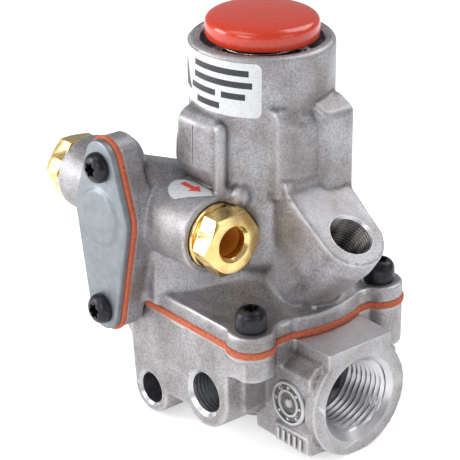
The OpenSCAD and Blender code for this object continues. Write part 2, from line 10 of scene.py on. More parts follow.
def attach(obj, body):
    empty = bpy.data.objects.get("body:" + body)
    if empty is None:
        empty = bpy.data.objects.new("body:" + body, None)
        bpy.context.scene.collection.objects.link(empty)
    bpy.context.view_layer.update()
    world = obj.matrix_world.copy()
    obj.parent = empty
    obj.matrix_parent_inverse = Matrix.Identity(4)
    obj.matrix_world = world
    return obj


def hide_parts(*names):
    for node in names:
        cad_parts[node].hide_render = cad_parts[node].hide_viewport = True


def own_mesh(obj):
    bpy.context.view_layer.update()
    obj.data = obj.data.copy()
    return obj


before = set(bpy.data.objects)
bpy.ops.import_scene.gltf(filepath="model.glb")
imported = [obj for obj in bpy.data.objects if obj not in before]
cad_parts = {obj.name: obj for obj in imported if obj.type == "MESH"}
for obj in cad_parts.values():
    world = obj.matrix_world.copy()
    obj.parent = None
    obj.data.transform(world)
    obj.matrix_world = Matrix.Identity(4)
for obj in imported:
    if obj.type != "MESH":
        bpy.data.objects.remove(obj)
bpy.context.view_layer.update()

MM = 0.001
TINY = 1e-6
SCENE = bpy.context.scene
FORWARD = Matrix.Rotation(math.pi / 2, 4, "X")  # takes local Z to -Y


# ---------------------------------------------------------------- solids in millimetres
def turn(axis):
    """Matrix that takes local Z to one of the frame's axes."""
    return {
        "x": Matrix.Rotation(math.pi / 2, 4, "Y"),
        "y": Matrix.Rotation(-math.pi / 2, 4, "X"),
        "z": Matrix.Identity(4),
    }[axis]


def sideways(side):
    """Matrix that takes local Z to +X for side 1, and to -X for side -1."""
    return turn("x") if side > 0 else Matrix.Rotation(-math.pi / 2, 4, "Y")


def placed(solid, matrix):
    verts, faces = solid
    return [matrix @ Vector(v) for v in verts], faces


def mirrored_x(solid):
    verts, faces = solid
    return [Vector((-v[0], v[1], v[2])) for v in verts], [f[::-1] for f in faces]


def lathe(profile, seg=96, axis="z", at=(0, 0, 0)):
    """Closed solid of revolution; the profile runs up the outside, as (radius, height)."""
    verts, faces, rings = [], [], []
    for r, z in profile:
        if r < TINY:
            rings.append([len(verts)])
            verts.append(Vector((0, 0, z)))
        else:
            rings.append(list(range(len(verts), len(verts) + seg)))
            verts += [
                Vector((r * math.cos(math.tau * k / seg), r * math.sin(math.tau * k / seg), z))
                for k in range(seg)
            ]
    closed = list(zip(rings, rings[1:]))
    if profile[0][0] > TINY and profile[-1][0] > TINY:
        closed.append((rings[-1], rings[0]))
    for a, b in closed:
        for k in range(seg):
            m = (k + 1) % seg
            if len(a) == 1:
                faces.append([a[0], b[m], b[k]])
            elif len(b) == 1:
                faces.append([a[k], a[m], b[0]])
            else:
                faces.append([a[k], a[m], b[m], b[k]])
    return placed((verts, faces), Matrix.Translation(at) @ turn(axis))


def bar(axis, a, b, r, at=(0, 0), seg=96):
    """Round bar along an axis from a to b; at is its place across that axis, in XYZ order."""
    centre = {"x": (0, at[0], at[1]), "y": (at[0], 0, at[1]), "z": (at[0], at[1], 0)}[axis]
    return lathe([(0, a), (r, a), (r, b), (0, b)], seg, axis, centre)


def prism(outline, a, b, axis="z"):
    """Bar with a polygon section. The outline is (x, y), (x, z) or (y, z)."""
    area = sum(p[0] * q[1] - q[0] * p[1] for p, q in zip(outline, outline[1:] + outline[:1]))
    pts = outline if area > 0 else outline[::-1]
    n = len(pts)
    make = {
        "z": lambda p, h: Vector((p[0], p[1], h)),
        "y": lambda p, h: Vector((p[0], h, p[1])),
        "x": lambda p, h: Vector((h, p[0], p[1])),
    }[axis]
    verts = [make(p, a) for p in pts] + [make(p, b) for p in pts]
    faces = [list(range(n))[::-1], list(range(n, 2 * n))]
    faces += [[k, (k + 1) % n, n + (k + 1) % n, n + k] for k in range(n)]
    if axis == "y":
        faces = [f[::-1] for f in faces]
    return verts, faces


def box(lo, hi):
    return prism([(lo[0], lo[1]), (hi[0], lo[1]), (hi[0], hi[1]), (lo[0], hi[1])], lo[2], hi[2])


def hull(*solids):
    bm = bmesh.new()
    for verts, _ in solids:
        for v in verts:
            bm.verts.new(v)
    bmesh.ops.remove_doubles(bm, verts=bm.verts, dist=1e-4)
    made = bmesh.ops.convex_hull(bm, input=bm.verts)
    spare = {e for e in made["geom_interior"] + made["geom_unused"] if isinstance(e, bmesh.types.BMVert)}
    bmesh.ops.delete(bm, geom=list(spare), context="VERTS")
    bm.normal_update()
    bm.verts.index_update()
    solid = [v.co.copy() for v in bm.verts], [[v.index for v in f.verts] for f in bm.faces]
    bm.free()
    return solid


def capsule(a, b, r, seg=24):
    """Round bar with ball ends between two points."""
    half = seg // 2
    slopes = [math.pi * k / half for k in range(half + 1)]
    ball = lathe([(r * math.sin(t), -r * math.cos(t)) for t in slopes], seg)
    return hull(*[placed(ball, Matrix.Translation(end)) for end in (a, b)])


def joined(*solids):
    verts, faces = [], []
    for v, f in solids:
        base = len(verts)
        verts += v
        faces += [[base + i for i in face] for face in f]
    return verts, faces


def mesh_of(name, solid):
    mesh = bpy.data.meshes.new(name)
    mesh.from_pydata([tuple(v) for v in solid[0]], [], solid[1])
    mesh.update()
    return mesh


def loose(name, solid, material=None):
    obj = bpy.data.objects.new(name, mesh_of(name, solid))
    SCENE.collection.objects.link(obj)
    if material:
        obj.data.materials.append(material)
    return obj


def applied(obj):
    """Applies the object's modifiers."""
    dg = bpy.context.evaluated_depsgraph_get()
    mesh = bpy.data.meshes.new_from_object(obj.evaluated_get(dg))
    obj.modifiers.clear()
    old, obj.data = obj.data, mesh
    bpy.data.meshes.remove(old)
    return obj


def boolean(obj, solid, material, operation="DIFFERENCE"):
    tool = loose("tool", solid, material)
    mod = obj.modifiers.new("boolean", "BOOLEAN")
    mod.operation, mod.solver, mod.object = operation, "MANIFOLD", tool
    mod.material_mode = "TRANSFER"
    applied(obj)
    mesh = tool.data
    bpy.data.objects.remove(tool)
    bpy.data.meshes.remove(mesh)
    return obj


def common(a, b):
    """The part that two solids share."""
    obj = boolean(loose("common", a), b, None, "INTERSECT")
    solid = [v.co.copy() for v in obj.data.vertices], [list(f.vertices) for f in obj.data.polygons]
    bpy.data.objects.remove(obj)
    return solid


def cast(name, solids, voxel, rounds, material):
    """One casting from overlapping solids: merged on a fine grid, then its edges are rounded."""
    obj = loose(name, joined(*solids), material)
    mod = obj.modifiers.new("merge", "REMESH")
    mod.mode, mod.voxel_size = "VOXEL", voxel
    mod = obj.modifiers.new("round", "SMOOTH")
    mod.factor, mod.iterations = 0.5, rounds
    return applied(obj)


def shade(mesh, angle=35):
    """Smooth faces, with sharp edges between materials and where the surface turns by more than angle."""
    bm = bmesh.new()
    bm.from_mesh(mesh)
    limit = math.radians(angle)
    for f in bm.faces:
        f.smooth = True
    for e in bm.edges:
        pair = e.link_faces
        same = len(pair) == 2 and pair[0].material_index == pair[1].material_index
        e.smooth = same and e.calc_face_angle(0) < limit
    bm.to_mesh(mesh)
    bm.free()


def finish_piece(obj, body, replaces=(), angle=35):
    """Scales a piece to metres, shades it and hangs it on its body."""
    obj.data.transform(Matrix.Scale(MM, 4))
    shade(obj.data, angle)
    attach(obj, body)
    if replaces:
        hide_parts(*replaces)


def beveled(obj, width, segments=2, angle=30):
    mod = obj.modifiers.new("bevel", "BEVEL")
    mod.width, mod.segments = width, segments
    mod.limit_method, mod.angle_limit = "ANGLE", math.radians(angle)
    mod.use_clamp_overlap = True
    return applied(obj)


# ---------------------------------------------------------------- materials
class Nodes:
    """Short hand for a node tree that works in millimetres of the piece's own frame."""

    def __init__(self, name):
        self.mat = bpy.data.materials.new(name)
        self.mat.use_nodes = True
        self.tree = self.mat.node_tree
        self.bsdf = self.tree.nodes["Principled BSDF"]
        coords = self.tree.nodes.new("ShaderNodeTexCoord")
        scaled = self.tree.nodes.new("ShaderNodeVectorMath")
        scaled.operation = "SCALE"
        scaled.inputs["Scale"].default_value = 1 / MM
        self.link(coords.outputs["Object"], scaled.inputs[0])
        self.mm = scaled.outputs[0]

    def link(self, a, b):
        self.tree.links.new(a, b)

    def noise(self, scale, detail=4, rough=0.55, stretch=(1, 1, 1)):
        node = self.tree.nodes.new("ShaderNodeTexNoise")
        node.inputs["Scale"].default_value = scale
        node.inputs["Detail"].default_value = detail
        node.inputs["Roughness"].default_value = rough
        if stretch == (1, 1, 1):
            self.link(self.mm, node.inputs["Vector"])
        else:
            mul = self.tree.nodes.new("ShaderNodeVectorMath")
            mul.operation = "MULTIPLY"
            mul.inputs[1].default_value = stretch
            self.link(self.mm, mul.inputs[0])
            self.link(mul.outputs[0], node.inputs["Vector"])
        return node.outputs["Fac"]

    def math(self, op, a, b):
        node = self.tree.nodes.new("ShaderNodeMath")
        node.operation = op
        for socket, value in zip(node.inputs, (a, b)):
            if isinstance(value, (int, float)):
                socket.default_value = value
            else:
                self.link(value, socket)
        return node.outputs[0]

    def ramp(self, fac, stops):
        node = self.tree.nodes.new("ShaderNodeValToRGB")
        for i, (pos, colour) in enumerate(stops):
            e = node.color_ramp.elements[i] if i < 2 else node.color_ramp.elements.new(pos)
            e.position = pos
            e.color = (*colour, 1) if not isinstance(colour, (int, float)) else (colour,) * 3 + (1,)
        self.link(fac, node.inputs["Fac"])
        return node.outputs["Color"]

    def mix(self, fac, a, b, mode="MIX"):
        node = self.tree.nodes.new("ShaderNodeMix")
        node.data_type, node.blend_type = "RGBA", mode
        for socket, value in ((node.inputs[0], fac), (node.inputs[6], a), (node.inputs[7], b)):
            if isinstance(value, (int, float)):
                socket.default_value = value
            elif isinstance(value, tuple):
                socket.default_value = (*value, 1)
            else:
                self.link(value, socket)
        return node.outputs[2]

    def corners(self, reach_mm, stops):
        """Painted shade: dark where the surface is closed in, as in a hollow."""
        node = self.tree.nodes.new("ShaderNodeAmbientOcclusion")
        node.samples = 8
        node.inputs["Distance"].default_value = reach_mm * MM
        return self.ramp(node.outputs["AO"], stops)

    def pointiness(self):
        return self.tree.nodes.new("ShaderNodeNewGeometry").outputs["Pointiness"]

    def bump(self, height, strength, distance_mm, under=None):
        node = self.tree.nodes.new("ShaderNodeBump")
        node.inputs["Strength"].default_value = strength
        node.inputs["Distance"].default_value = distance_mm * MM
        self.link(height, node.inputs["Height"])
        if under is not None:
            self.link(under, node.inputs["Normal"])
        return node.outputs["Normal"]

    def set(self, **values):
        for key, value in values.items():
            socket = self.bsdf.inputs[key.replace("_", " ")]
            if isinstance(value, (int, float)):
                socket.default_value = value
            else:
                self.link(value, socket)


def metal(name, dark, light, rough, grain, bump=0.3, depth=0.02, blotch=0.12, metallic=1.0):
    """Metal with blotches of tone, a fine grain in its gloss, and a fine bump."""
    n = Nodes(name)
    tone = n.ramp(n.noise(blotch, 5), [(0.35, dark), (0.68, light)])
    fine = n.noise(grain, 3, 0.6)
    gloss = n.ramp(fine, [(0.3, rough[0]), (0.7, rough[1])])
    n.set(Base_Color=tone, Metallic=metallic, Roughness=gloss, Normal=n.bump(fine, bump, depth))
    return n.mat


def cast_alloy(name, dark, light):
    """Die cast metal: a sandy skin, cloudy tone, painted shade where the surface is closed in or folds inward,
    and convex edges a little lighter.
    """
    n = Nodes(name)
    cloud = n.ramp(n.noise(0.13, 6, 0.6), [(0.36, dark), (0.66, light)])
    speck = n.ramp(n.noise(2.2, 5, 0.75), [(0.35, 0.55), (0.63, 1.12)])
    # painted shade: the skin is darkened where the surface is closed in and where it folds inward
    hollow_shade = n.corners(4, [(0.1, 0.6), (0.5, 1.0)])
    crease_shade = n.ramp(n.pointiness(), [(0.46, 0.5), (0.492, 1.0)])
    skin = cloud
    for layer in (speck, hollow_shade, crease_shade):
        skin = n.mix(1.0, skin, layer, "MULTIPLY")
    # convex edges are made a little lighter
    lighter_edges = n.ramp(n.pointiness(), [(0.505, 0.0), (0.56, 0.55)])
    tone = n.mix(lighter_edges, skin, (0.8, 0.79, 0.8))
    fine = n.noise(4.5, 5, 0.65)
    waves = n.noise(0.5, 3, 0.5)
    gloss = n.ramp(n.noise(2.2, 4, 0.6), [(0.3, 0.4), (0.72, 0.58)])
    normal = n.bump(waves, 0.25, 0.16, n.bump(fine, 0.75, 0.05))
    n.set(Base_Color=tone, Metallic=0.8, Roughness=gloss, Normal=normal)
    return n.mat


CAST = cast_alloy("cast_skin", (0.29, 0.268, 0.262), (0.47, 0.465, 0.49))
CAST_LOW = cast_alloy("cast_skin_low", (0.32, 0.30, 0.295), (0.48, 0.47, 0.485))
MACHINED = metal("machined_face", (0.5, 0.5, 0.515), (0.66, 0.66, 0.675), (0.26, 0.4), 2.5, 0.2, 0.006)
THREAD = metal("cut_thread", (0.52, 0.52, 0.53), (0.68, 0.68, 0.69), (0.3, 0.44), 3.0, 0.2, 0.006)
# drilled bores: darker than the machined faces, partly oxide and partly painted shade inside the holes
BORE = metal("drilled_bore_oxide_and_shade", (0.3, 0.305, 0.32), (0.44, 0.445, 0.46), (0.3, 0.45), 2.0, 0.25, 0.01, 0.3)
# thermocouple thread: very dark, as painted shade inside the deep hole
TAPPED_SHADE = metal("tapped_bore_shade", (0.12, 0.11, 0.105), (0.24, 0.225, 0.215), (0.22, 0.38), 2.0, 0.25, 0.01, 0.3)
BRASS = metal("turned_brass", (0.80, 0.55, 0.2), (0.95, 0.72, 0.33), (0.2, 0.3), 1.4, 0.08, 0.004, 0.3)
BRASS_BORE = metal(
    "brass_bore", (0.8, 0.36, 0.05), (0.95, 0.48, 0.1), (0.3, 0.4), 1.4, 0.08, 0.004, 0.3, 0.35)
STEEL = metal("bright_steel", (0.5, 0.5, 0.52), (0.68, 0.68, 0.7), (0.2, 0.34), 3.0, 0.3, 0.01)
IRON = metal("magnet_iron", (0.3, 0.3, 0.32), (0.45, 0.45, 0.47), (0.3, 0.45), 3.0, 0.4, 0.02)
ALU = metal("turned_aluminium", (0.6, 0.6, 0.62), (0.8, 0.8, 0.82), (0.25, 0.4), 3.0, 0.3, 0.01)
ZINC = metal("zinc_plate", (0.225, 0.25, 0.27), (0.275, 0.30, 0.32), (0.4, 0.55), 2.6, 0.3, 0.012, 0.5, 0.85)
BLACK = metal(
    "black_oxide", (0.012, 0.012, 0.015), (0.035, 0.035, 0.04), (0.28, 0.42), 4.0, 0.3, 0.012, 0.8, 0.6)


def plastic(name, dark, light, rough, coat=0.0, bump=0.12, depth=0.02, scale=1.5):
    """Plastic, rubber or print, with a faint unevenness in its tone, gloss and surface."""
    n = Nodes(name)
    tone = n.ramp(n.noise(scale, 5, 0.6), [(0.3, dark), (0.7, light)])
    gloss = n.ramp(n.noise(scale * 2, 3), [(0.3, rough[0]), (0.7, rough[1])])
    n.set(Base_Color=tone, Roughness=gloss, Normal=n.bump(n.noise(scale * 1.7, 3), bump, depth))
    n.bsdf.inputs["Coat Weight"].default_value = coat
    n.bsdf.inputs["Coat Roughness"].default_value = 0.08
    return n.mat


RED = plastic("button_red", (0.54, 0.03, 0.008), (0.64, 0.045, 0.012), (0.18, 0.28), 0.35)
DARK = plastic("black_plastic", (0.012, 0.012, 0.013), (0.03, 0.03, 0.032), (0.4, 0.55))
RUBBER = plastic("seal_rubber", (0.015, 0.015, 0.015), (0.03, 0.03, 0.03), (0.6, 0.8), 0, 0.3, 0.02, 2.5)
NYLON = plastic("white_nylon", (0.72, 0.71, 0.66), (0.84, 0.83, 0.79), (0.4, 0.5))
PHENOLIC = plastic("brown_phenolic", (0.14, 0.055, 0.025), (0.24, 0.1, 0.045), (0.35, 0.5))
LABEL = plastic("label_white", (0.6, 0.61, 0.63), (0.68, 0.69, 0.7), (0.24, 0.34), 0.25, 0.06, 0.01, 0.8)
INK = plastic("label_ink", (0.012, 0.012, 0.02), (0.03, 0.03, 0.04), (0.35, 0.45))
ARROW = plastic("arrow_ink", (0.7, 0.07, 0.05), (0.78, 0.09, 0.06), (0.35, 0.45))


def fibre(name, dark, light):
    """Pressed gasket board: strands that lie flat, in a coarse pulp."""
    n = Nodes(name)
    strands = n.noise(1.1, 5, 0.7, (1, 1, 3.2))
    pulp = n.noise(3.6, 4, 0.7)
    blend = n.math("ADD", n.math("MULTIPLY", strands, 0.6), n.math("MULTIPLY", pulp, 0.4))
    tone = n.ramp(blend, [(0.36, dark), (0.64, light)])
    n.set(Base_Color=tone, Roughness=0.82, Normal=n.bump(pulp, 0.8, 0.07, n.bump(strands, 0.6, 0.1)))
    return n.mat


FIBRE = fibre("gasket_fibre", (0.3, 0.06, 0.028), (0.66, 0.165, 0.075))


def enamelled_copper():
    """Wound wire, as ridges across the coil's axis."""
    n = Nodes("enamelled_copper")
    wave = n.tree.nodes.new("ShaderNodeTexWave")
    wave.bands_direction = "Z"
    wave.inputs["Scale"].default_value = 1.6
    n.link(n.mm, wave.inputs["Vector"])
    tone = n.ramp(n.noise(1.5, 3), [(0.3, (0.42, 0.13, 0.04)), (0.7, (0.66, 0.25, 0.09))])
    n.set(Base_Color=tone, Metallic=0.9, Roughness=0.3, Normal=n.bump(wave.outputs["Fac"], 0.8, 0.12))
    return n.mat


COPPER = enamelled_copper()

# materials of the solid model's own pieces, which keep their mesh
SLOT_MATERIALS = {
    "brass": BRASS, "black_plastic": DARK, "spring_steel": STEEL, "seal_rubber": RUBBER,
    "turned_aluminium": ALU, "magnet_iron": IRON, "white_nylon": NYLON, "enamelled_copper": COPPER,
    "brown_phenolic": PHENOLIC,
}

# ---------------------------------------------------------------- sizes, in millimetres
PORT_Z, PORT_FACE_X, PORT_R, PORT_MOUTH_R, COLLAR_R = 12.6, 31.25, 7.65, 9.45, 12.6
PARTING_Z, FLANGE_Z, FLANGE_TOP = 25.3, 26.9, 30.0
SCREW_XY, BACK_Y, FACE_Y, BARREL_R, RIM_Z = 18.6, 16.8, -22.6, 15.0, 83.3
CORNERS = [(SCREW_XY, -SCREW_XY), (SCREW_XY, BACK_Y), (-SCREW_XY, BACK_Y)]
SCREWS = [*CORNERS, (-19.4, -4.0)]
PILOT_Y, PILOT_Z, COVER_X, NUT_REACH = -17.75, 46.15, -15.0, 27.4
PILOT = (PILOT_Y, PILOT_Z)
PAD_Y, GASKET_Y, PLATE_Y = -27.95, -29.15, -30.65
COVER_SCREWS_Z = (57.55, 25.55)
NUT_FLATS, NUT_TURN = 12.7, 35
MEDAL_X, MEDAL_Z, STUDS, STUD_STEP = 23, 12.4, 8, 0.7854
CASTING_GRID, SEAL_GRID = 0.4, 0.3
CUT = 0.6
# the slanting thermocouple port: local Z comes out of its face
TC = Matrix.Translation((27.5, 0, 48.35)) @ Matrix.Rotation(math.radians(34.8), 4, "Y")


def flange_solids(a, b, grow=0.0):
    """The outline that both castings and the gasket share, as overlapping solids."""
    half, wide, deep = SCREW_XY, 20.8 + grow, -FACE_Y + grow
    return [
        bar("z", a, b, 22.7 + grow, seg=160),
        *[bar("z", a, b, 5 + grow, at=p, seg=64) for p in CORNERS],
        box((-wide, -half, a), (wide, BACK_Y, b)),
        box((-half, -deep, a), (half, 20.8 + grow, b)),
    ]


def threaded(r, root, pitch, a, b, mouth_r, seg=96):
    """Cutter for a threaded hole along local Z, with its mouth at b, and a chamfer out to mouth_r."""
    rows = max(2, round((b - a) / pitch * 8))
    chamfer = mouth_r - r
    verts, faces = [Vector((0, 0, a))], []
    for i in range(rows + 2):
        z = a + (b - a) * min(i, rows) / rows + (CUT if i > rows else 0)
        for k in range(seg):
            phase = (z / pitch + k / seg) % 1
            tooth = root * min(1.0, 2.6 * min(phase, 1 - phase))
            reach = r + max(tooth if z < b - 0.4 * chamfer else 0, z - (b - chamfer))
            turned = math.tau * k / seg
            verts.append(Vector((reach * math.cos(turned), reach * math.sin(turned), z)))
    for i in range(rows + 1):
        for k in range(seg):
            m, lo = (k + 1) % seg, 1 + i * seg
            faces.append([lo + k, lo + m, lo + seg + m, lo + seg + k])
    top = len(verts)
    verts.append(Vector((0, 0, b + CUT)))
    for k in range(seg):
        m = (k + 1) % seg
        faces.append([0, 1 + m, 1 + k])
        faces.append([top - seg + k, top - seg + m, top])
    return verts, faces


def star(r_out, r_in, n=48):
    """Rounded six-lobed outline of a driver recess."""
    mid, swing = (r_out + r_in) / 2, (r_out - r_in) / 2
    ring = [(mid + swing * math.cos(6 * math.tau * k / n), math.tau * k / n) for k in range(n)]
    return [(r * math.cos(a), r * math.sin(a)) for r, a in ring]


def teardrop(grow):
    """Outline of the pilot cover as (x, z): three circles with straight sides between them."""
    circles = [(COVER_SCREWS_Z[0] + 0.9, 4.7), (PILOT_Z + 0.4, 8.6), (COVER_SCREWS_Z[1] - 0.2, 4.5)]
    pts = []
    for k in range(144):
        a = math.tau * k / 144
        z, r = max(circles, key=lambda c: c[0] * math.sin(a) + c[1])
        pts.append((COVER_X + (r + grow) * math.cos(a), z + (r + grow) * math.sin(a)))
    return pts


def stack(layers):
    """Closed solid through (x, z) outlines of equal length at rising depths: [(outline, y)], front first."""
    n = len(layers[0][0])
    verts = [Vector((p[0], y, p[1])) for outline, y in layers for p in outline]
    faces = [list(range(n))]
    for i in range(len(layers) - 1):
        lo = i * n
        faces += [[lo + k, lo + n + k, lo + n + (k + 1) % n, lo + (k + 1) % n] for k in range(n)]
    faces.append(list(range((len(layers) - 1) * n, len(layers) * n))[::-1])
    return verts, faces


# ---------------------------------------------------------------- upper casting
def pilot_bar(a, b, r, seg=96):
    return bar("x", a, b, r, at=PILOT, seg=seg)


def upper_solids():
    barrel = lathe([
        (0, 26.4), (21, 26.4), (21, 30.3), (18.4, 30.9), (16.4, 32), (14.4, 33.5), (13.2, 35), (13.2, 36.6),
        (14.2, 37.6), (15, 38.7), (15, 82.4), (14.7, 83), (14.1, RIM_Z), (0, RIM_Z),
    ], 192)
    # wide rib above the thermocouple port, set back on its near side
    near = [
        (9, -8.9), (12.6, -8.9), (14.7, -8.5), (15.3, -7.8), (16, -6.2), (16.5, -4.6), (16.6, -3), (16.6, 3),
        (9, 3)]
    far = [(9, 0.4), (16.4, 0.4), (17.5, 0.9), (18.5, 2.2), (18.8, 3), (18.8, 8.1), (18.2, 8.7), (9, 8.7)]
    near_slope = [(10, 53), (16.8, 54.5), (16.8, 68.2), (16.4, 69.1), (14.2, 72.4), (10, 72.8)]
    far_slope = [(10, 50), (18.9, 51), (18.9, 69.6), (18.2, 71), (14.6, 72.8), (10, 72.8)]
    near_rib = common(prism(near_slope, -9, 9, "y"), prism(near, 40, 80))
    far_rib = common(prism(far_slope, -9, 9, "y"), prism(far, 40, 80))
    rib_side = [(-10, 47), (-18.3, 59), (-18.3, 68.6), (-16.8, 70.1), (-14.4, 70.8), (-10, 70.8)]
    set_back = [(y + (0.9 if y < -12 else 0), z - (0.3 if z > 65 else 0)) for y, z in rib_side]
    front_rib = hull(prism(rib_side, -4.9, 0.2, "x"), prism(set_back, -5.4, 4.2, "x"))
    # soft ridges and bumps that run from the ribs into the pilot line
    round_rib = capsule((5.4, -15.6, 55), (5.4, -15.6, 68.1), 1.3)
    foot_ridge = capsule((2.6, -15.9, 60), (5.6, -14.4, 53.6), 1.6)
    side_bulge = capsule((-6.4, -14.6, 58.5), (-6.2, -14.6, 63), 2.3)
    bump = capsule((8.1, -12.7, 53.6), (8.3, -12.6, 54.2), 2.3)
    # thermocouple port: its flat face, the fillets where that meets the rib, and the web below it
    tc_head = placed(lathe([(0, -5), (7.5, -5), (7.5, 0.05), (0, 0.05)], 96), TC)
    tc_back = placed(box((-12.4, -7.5, -4), (0, 7.5, 0.05)), TC)
    tc_slope = placed(box((-14.5, -7.5, -3), (-9, 7.5, 0.05)), TC)
    far_fillet = [(-15, -2), (-10.4, -2), (-10.4, 0.05), (-11.2, 0.4), (-11.9, 1.3), (-15, 1.3)]
    near_fillet = [(-16, -2), (-12.2, -2), (-12.2, 0.05), (-13, 0.4), (-13.7, 1.3), (-16, 1.3)]
    tc_fillets = [
        placed(prism(far_fillet, 1.8, 8, "y"), TC),
        placed(prism(near_fillet, -7.9, 1.8, "y"), TC),
    ]
    tc_web = hull(
        placed(lathe([(0, -5), (7.45, -5), (7.45, -0.3), (0, -0.3)], 64), TC),
        box((10, -7.9, 48), (18.6, 7.9, 54)),
        bar("z", 29, 30, 7.6, at=(11.5, 0), seg=64),
    )
    # pilot line, with the pad for its cover and the arms that carry it
    line = pilot_bar(COVER_X - NUT_REACH + 6, COVER_X + NUT_REACH - 6, 8.3)
    pad = stack([(teardrop(0.4), PAD_Y - 0.6), (teardrop(0.4), -23.4)])
    tie = box((-18.6, -24.4, FLANGE_Z + 0.3), (-9, -20, FLANGE_TOP + 3))
    dome = lathe([(0, -28.5), (5.3, -28.5), (5.3, -23.6), (4.6, -22.2), (3.2, -21.2), (0, -20.6)], 64, "y",
                 (COVER_X, 0, COVER_SCREWS_Z[0]))
    rib_arm = hull(pilot_bar(-5.9, 3.6, 7.7, 64), box((-9, -12, 39), (3, -10, 50)))
    back_arm = hull(
        pilot_bar(COVER_X - 4.9, COVER_X + 8, 7.7, 64),
        box((COVER_X - 3, -23.5, 51.3), (COVER_X + 3, -20.7, 57.3)),
        box((-11, -11, 40), (-8, -8, 54)),
    )
    web = hull(box((-9.5, -23.4, FLANGE_Z + 0.3), (-6.6, -19.7, 43.3)), box((-4, -12, 30.5), (6, -9, 42)))
    return [
        *flange_solids(26.4, FLANGE_TOP), barrel, near_rib, far_rib,
        front_rib, round_rib, foot_ridge, side_bulge, bump,
        tc_head, tc_back, tc_slope, *tc_fillets, tc_web,
        line, pad, tie, dome, rib_arm, back_arm, web,
    ]


def upper_body():
    obj = cast("upper_body_casting", upper_solids(), CASTING_GRID, 11, CAST)
    # the faces on the body gasket and on the pilot cover's gasket
    boolean(obj, box((-8, -30, 20), (40, 40, FLANGE_Z)), MACHINED)
    boolean(obj, box((-40, -23.2, 20), (-7, 40, FLANGE_Z)), MACHINED)
    boolean(obj, box((-40, PAD_Y - 8, 10), (0, PAD_Y, 70)), MACHINED)
    # parting line of the casting, down the narrow rib
    boolean(obj, box((-0.11, -18.8, 59.5), (0.11, -18.05, 68)), CAST)
    # shaft of the button and the magnet, from the gas chamber up to the rim
    shaft = [
        (0, 26), (13.5, 26), (13.5, 31), (11.65, 31), (11.65, 34), (11.2, 34), (11.2, 35), (7.2, 35),
        (7.2, 44), (8.7, 44), (8.7, 58.5), (11.8, 58.5), (11.8, 74.8), (12.6, 74.8), (12.6, 76.2), (13.2, 76.2),
        (13.2, 77), (12.6, 77), (12.6, 82.7), (13.3, RIM_Z + 0.1), (13.3, RIM_Z + 1), (0, RIM_Z + 1)]
    boolean(obj, lathe(shaft, 192), MACHINED)
    # holes of the two push rods, the way to the outlet, and the screw holes
    for turned in (20, 200):
        a = math.radians(turned)
        boolean(obj, bar("z", 34.5, 59, 1.35, at=(9.8 * math.cos(a), 9.8 * math.sin(a)), seg=32), MACHINED)
    boolean(obj, box((0, -6, 26), (19, 6, 27.7)), MACHINED)
    screw_hole = [(0, 26), (2.25, 26), (2.25, 30), (3.9, 30), (3.9, 39), (0, 39)]
    for p in SCREWS:
        boolean(obj, lathe(screw_hole, 64, at=(*p, 0)), MACHINED)
    # thermocouple port, and the way for its lead
    boolean(obj, placed(lathe([(0, -1), (4, -1), (4.7, 0.1), (0, 0.1)], 80), TC), MACHINED)
    boolean(obj, placed(threaded(4.0, 0.35, 0.8, -11, -0.3, 4.1, 80), TC), TAPPED_SHADE)
    boolean(obj, placed(lathe([(0, -13), (3.45, -13), (3.45, -10.5), (0, -10.5)], 48), TC), MACHINED)
    boolean(obj, bar("x", 8.9, 20.2, 1.2, at=(0, 37.7), seg=32), MACHINED)
    boolean(obj, bar("z", 36.5, 50.4, 0.9, at=(8.9, 0), seg=32), MACHINED)
    # pilot line: nut sockets, the way through, the chamber under the cover, and the drillings to the barrel
    socket = [
        (0, 13.4), (5.55, 13.4), (5.55, 20.2), (7.2, 20.2), (7.2, 21.9), (7.6, 21.9), (7.6, 29.4), (0, 29.4)]
    for side in (-1, 1):
        matrix = Matrix.Translation((COVER_X, *PILOT)) @ Matrix.Scale(side, 4, (1, 0, 0)) @ turn("x")
        verts, faces = placed(lathe(socket, 96), matrix)
        boolean(obj, (verts, faces if side > 0 else [f[::-1] for f in faces]), MACHINED)
    boolean(obj, pilot_bar(-29, COVER_X, 2.4, 48), MACHINED)
    boolean(obj, pilot_bar(-6.2, -1, 2.4, 48), MACHINED)
    boolean(obj, bar("y", PAD_Y - 0.5, -14.75, 6, at=(COVER_X, PILOT_Z)), MACHINED)
    slant = (
        Matrix.Translation((COVER_X, PILOT_Y, 41)) @ Matrix.Rotation(math.radians(49.8), 4, "Z") @ turn("x"))
    boolean(obj, placed(lathe([(0, 0), (1.8, 0), (1.8, 17.5), (0, 17.5)], 32), slant), MACHINED)
    boolean(obj, bar("y", PILOT_Y, -6.55, 1.6, at=(-4, 48.55), seg=32), MACHINED)
    for z in COVER_SCREWS_Z:
        boolean(obj, bar("y", PAD_Y - 0.5, PAD_Y + 2.6, 2.05, at=(COVER_X, z), seg=32), MACHINED)
    return obj


# ---------------------------------------------------------------- lower casting
def port_block():
    """Outlet block and its round collar, on the +X side."""
    outline = [(-11.5, 2), (11.5, 2), (12.1, 19.9), (9.7, 22.1), (-9.7, 22.1), (-12.1, 19.9)]
    return [
        prism(outline, 12, 29.3, "x"),
        box((12, -8.6, 19.9), (PORT_FACE_X + 0.1, 8.6, PARTING_Z + 0.6)),
        bar("x", 28.3, PORT_FACE_X + 0.1, COLLAR_R, at=(0, PORT_Z), seg=128),
    ]


